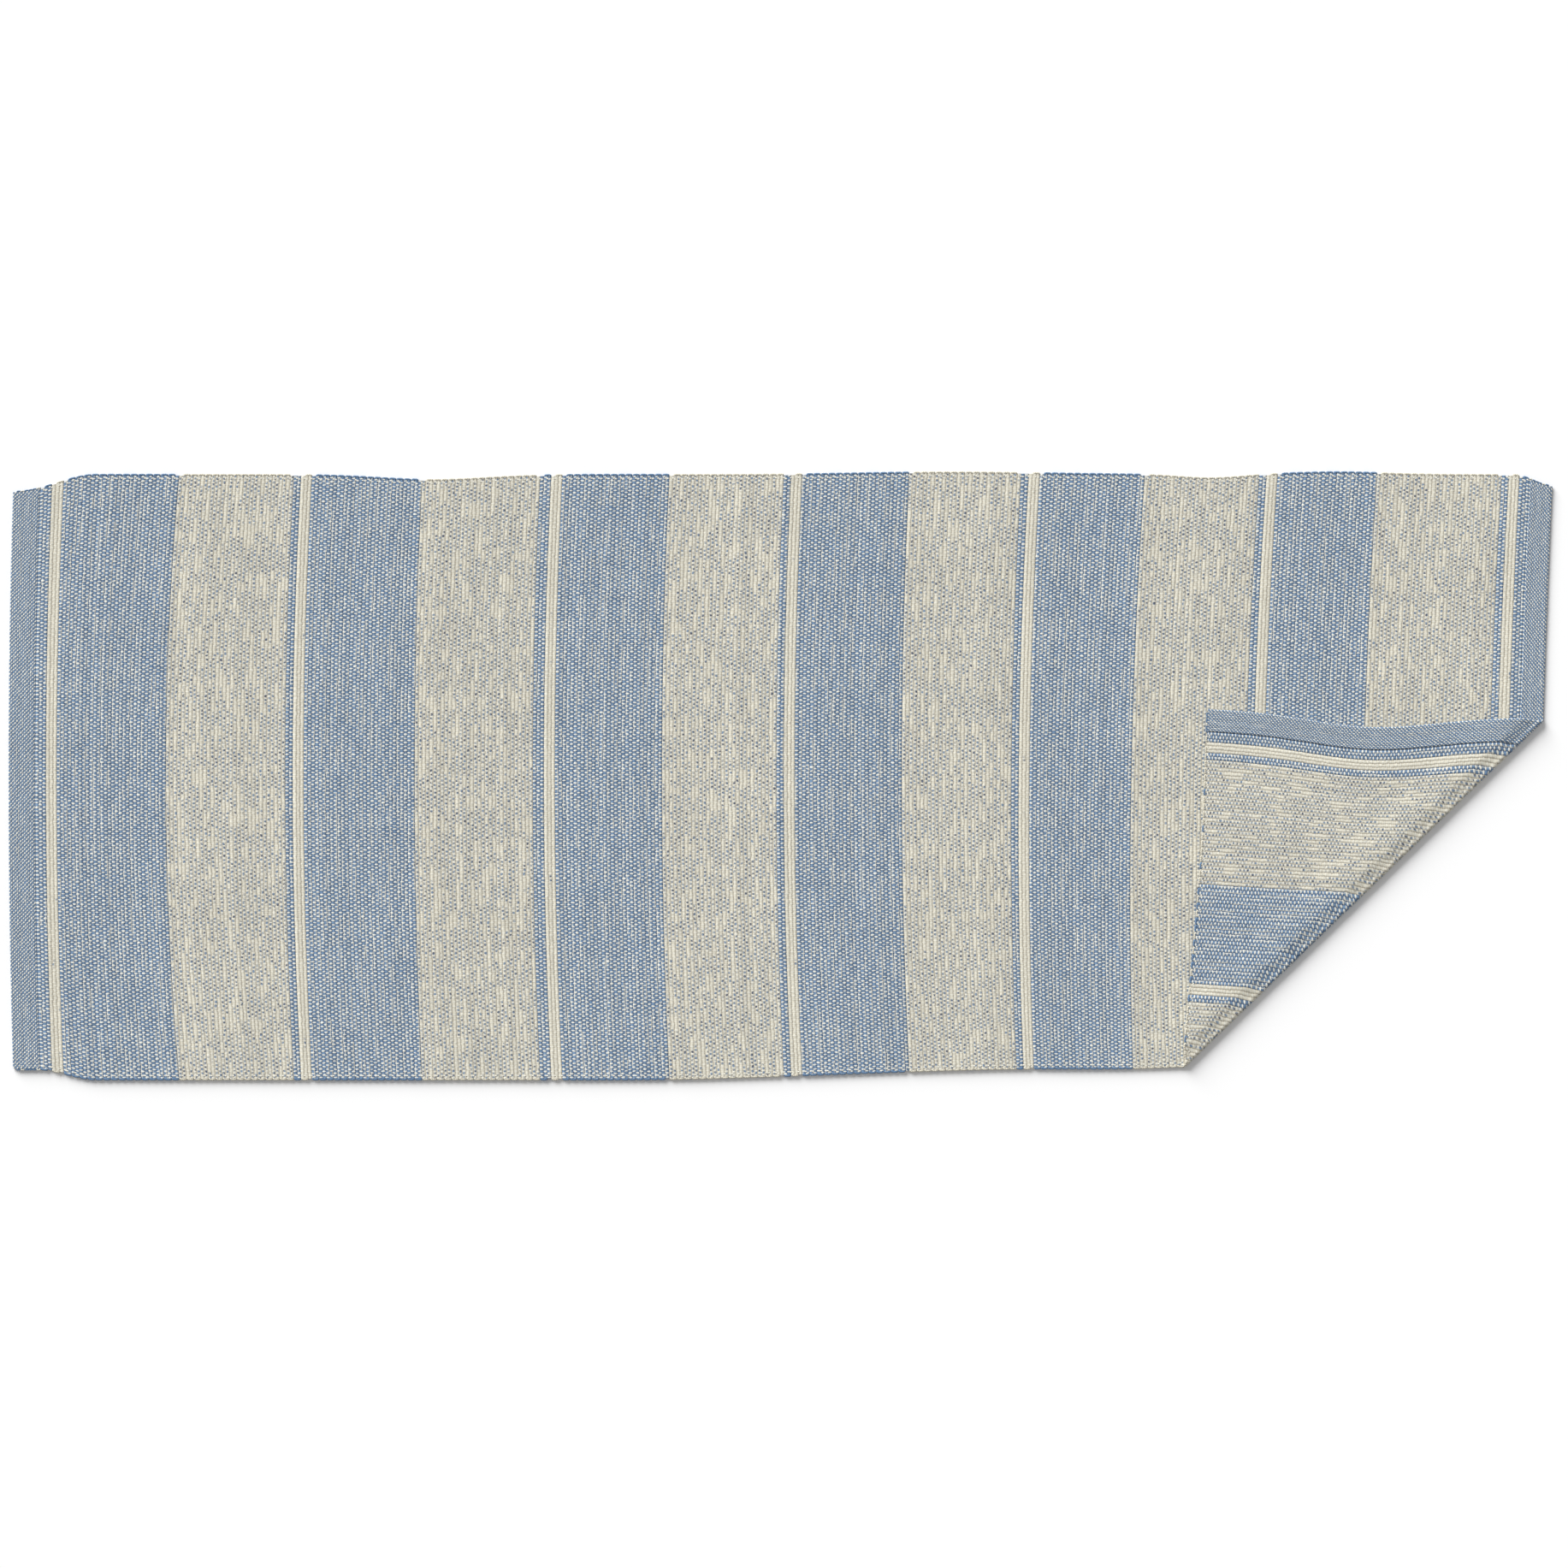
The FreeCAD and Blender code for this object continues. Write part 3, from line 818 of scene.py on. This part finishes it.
def hem_piece(name, end, motion, nodes):
    """A hem: cloth of thin weft turned under at one end of the runner, so that it is round there
    and two plies thick. end is -1 at the left and 1 at the right."""
    inner = end * (RIGHT_END - HEM_WIDTH)
    shoulder = HEM_WIDTH - MID_HEIGHT + 0.0003  # where the round end begins
    step = [TURNED_PLY_GAP - PLY_STEP / 2, TURNED_PLY_GAP + PLY_STEP / 2]
    reach = np.sort(np.concatenate([np.arange(0, shoulder, HEM_PICK / 2), step]))
    thinner = (HEM_HALF_THICKNESS - BODY_HEIGHT + RIB) * (1 - ease(reach, 0, HEM_PICK))
    bend = np.linspace(0, math.pi / 2, 7)[1:]
    distance = np.concatenate([reach, shoulder + (HEM_WIDTH - shoulder) * np.sin(bend)])
    level = np.concatenate([HEM_HALF_THICKNESS - thinner, HEM_HALF_THICKNESS * np.cos(bend)])
    level = level[:, None]
    d, v = np.meshgrid(distance, slab_rows(end > 0), indexing="ij")
    pick = d / HEM_PICK
    row = (v + HALF_WIDTH) / END
    on_flat = level > HEM_HALF_THICKNESS * 0.9
    relief = HEM_RIB * np.cos(math.pi * (np.floor(pick) - row + 0.5)) * on_flat
    top = level + relief
    low = np.where(d < TURNED_PLY_GAP, -GAP_DEPTH, -level - relief)
    low[-1] = top[-1]
    u = inner + end * d
    weave = np.stack([pick, row], axis=2)
    cloth = Cloth()
    upper = np.stack([u, v, top], axis=2)
    lower = np.stack([u, v, low], axis=2)
    over = end < 0
    cloth.grid(upper, weave, (0, 0, 0.48, 0.80), flip=over)
    cloth.grid(lower, weave + UNDERSIDE, (0.50, 0, 0.98, 0.80), flip=not over)
    walls = [
        (upper[0], lower[0], weave[0], not over, (0.985, 0, 0.990, 0.80)),
        (upper[:, 0], lower[:, 0], weave[:, 0], over, (0, 0.805, 0.98, 0.810)),
        (upper[:, -1], lower[:, -1], weave[:, -1], not over, (0, 0.815, 0.98, 0.820)),
    ]
    for high, bottom, places, flip, patch in walls:
        cloth.grid(np.stack([high, bottom]), np.stack([places, places]), patch, flip=flip, wall=1)
    cord_ends = sorted((inner, inner + end * (HEM_WIDTH - HEM_CORD_SHORTER)))
    loops = HEM_PICKS // 2 - 1
    strip = 0
    for edge in (-1, 1):
        cord(cloth, edge, *cord_ends, strip_room(strip, 0, 1), 1)
        strip += 1
        for ply in (-1, 1):
            for i in range(loops):
                near = inner + end * (2 * i + 0.5) * HEM_PICK
                far = inner + end * (2 * i + 1.5) * HEM_PICK
                room = strip_room(strip, i / loops, 0.8 / loops)
                kind = 1 if (3 * i + ply) % 4 == 1 else 2  # here and there a light one
                height = ply * HEM_STRAND_HEIGHT
                turn_back(cloth, edge, near, far, HEM_LOOP_RADIUS, height, room, kind)
            strip += 1
    piece, u, v = cloth.make(name, [HEM_WEAVE, CORD_YARN, BLUE_LOOP])
    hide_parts(*nodes)
    move_with(piece, motion, u, v)
    return piece


def thread_piece(name, end, motion, nodes):
    """The running stitch that holds a hem down, half sunk into the weave."""
    low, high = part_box(nodes[0])
    across = end * (abs(low.x) + abs(high.x)) / 2
    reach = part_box("hem_thread_left")[1].y
    stitches = round(2 * reach / STITCH)
    v = np.linspace(-reach, reach, stitches * 8 + 1)
    swing = np.sin(math.pi * stitches * (v + reach) / (2 * reach))
    n = STITCH_HEIGHT * np.tanh(STITCH_SQUARE * swing) / math.tanh(STITCH_SQUARE)
    path = np.stack([np.full(len(v), across), v, n], axis=1)
    cloth = Cloth()
    tube(cloth, path, THREAD_RADIUS, (0, 0, 1, 1), sides=6)
    piece, u, v = cloth.make(name, [THREAD_YARN])
    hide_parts(*nodes)
    move_with(piece, motion, u, v)
    return piece


for side, end, motion in (("left", -1, "left_outer_panel"), ("right", 1, "corner_fold")):
    for part, make_piece in (("hem_", hem_piece), ("hem_thread_", thread_piece)):
        name = part + side
        nodes = sorted(node for node in frame["nodes"] if node.startswith(name))
        pieces[name] = make_piece("cloth_" + name, end, motion, nodes)

# ---------------------------------------------------------------- sheets
# For each wide band, the pin stripes, hem and selvedge beside it are gathered in a list in turn, and
# nothing is done with the list
SELVEDGES_WITH = {
    "blue_band_1": ["selvedge_front_left", "selvedge_back_left"],
    "blue_band_3": ["selvedge_front_middle", "selvedge_back_middle"],
    "blue_band_5": ["selvedge_front_right", "selvedge_back_right"],
    "blue_band_6": ["selvedge_front_turned"],
}
LAST_WIDE = [band for band in BANDS if "band" in band["name"]][-1]
beside = [pieces["hem_left"], pieces["hem_thread_left"]]
for band in BANDS[: BANDS.index(LAST_WIDE) + 1]:
    name, picks = band["name"], band["picks"]
    if "band" not in name:
        beside.append(pieces[name])
        continue
    beside += [pieces[selvedge] for selvedge in SELVEDGES_WITH.get(name, [])]
    if band is LAST_WIDE:
        beside += [pieces[other["name"]] for other in BANDS if other["left"] > band["left"]]
        beside += [pieces["hem_right"], pieces["hem_thread_right"]]
    if band is FOLD_BAND:
        picks -= SPLIT_PICKS
    beside = []

# ---------------------------------------------------------------- floor, light and camera
VIEW_CENTRE = (0.0046, -0.0097)
VIEW_WIDTH = 1.862
LENS, SENSOR = 120.0, 36.0
FLOOR_REACH = 12.0
FLOOR_WHITE = 0.905
SURROUND_STRENGTH = 0.40
SUN_ENERGY = 5.1
SUN_SPREAD = 42  # degrees
SUN_DIRECTION = Vector((0.50, -0.72, -0.43))


def make_floor():
    mesh = bpy.data.meshes.new("floor")
    corners = [(x * FLOOR_REACH, y * FLOOR_REACH, 0) for x, y in ((-1, -1), (1, -1), (1, 1), (-1, 1))]
    mesh.from_pydata(corners, [], [(0, 1, 2, 3)])
    material = bpy.data.materials.new("floor")
    material.use_nodes = True
    shader = material.node_tree.nodes["Principled BSDF"]
    shader.inputs["Base Color"].default_value = (FLOOR_WHITE, FLOOR_WHITE, FLOOR_WHITE, 1)
    shader.inputs["Roughness"].default_value = 0.9
    shader.inputs["Specular IOR Level"].default_value = 0.1
    mesh.materials.append(material)
    floor = bpy.data.objects.new("floor", mesh)
    bpy.context.scene.collection.objects.link(floor)


def make_light():
    """An even white surround, and a wide sun from behind and a little to the left."""
    world = bpy.data.worlds.new("surround")
    world.use_nodes = True
    background = world.node_tree.nodes["Background"]
    background.inputs["Color"].default_value = (1.0, 1.0, 1.0, 1)
    background.inputs["Strength"].default_value = SURROUND_STRENGTH
    bpy.context.scene.world = world
    sun = bpy.data.lights.new("key", "SUN")
    sun.energy = SUN_ENERGY
    sun.angle = math.radians(SUN_SPREAD)
    lamp = bpy.data.objects.new("key", sun)
    lamp.rotation_euler = SUN_DIRECTION.to_track_quat("-Z", "Y").to_euler()
    bpy.context.scene.collection.objects.link(lamp)


def make_camera():
    data = bpy.data.cameras.new("camera")
    data.lens = LENS
    data.sensor_width = SENSOR
    data.clip_end = 50
    camera = bpy.data.objects.new("camera", data)
    camera.location = (*VIEW_CENTRE, VIEW_WIDTH * LENS / SENSOR)
    bpy.context.scene.collection.objects.link(camera)
    bpy.context.scene.camera = camera


make_floor()
make_light()
make_camera()
bpy.context.scene.view_settings.view_transform = "Standard"
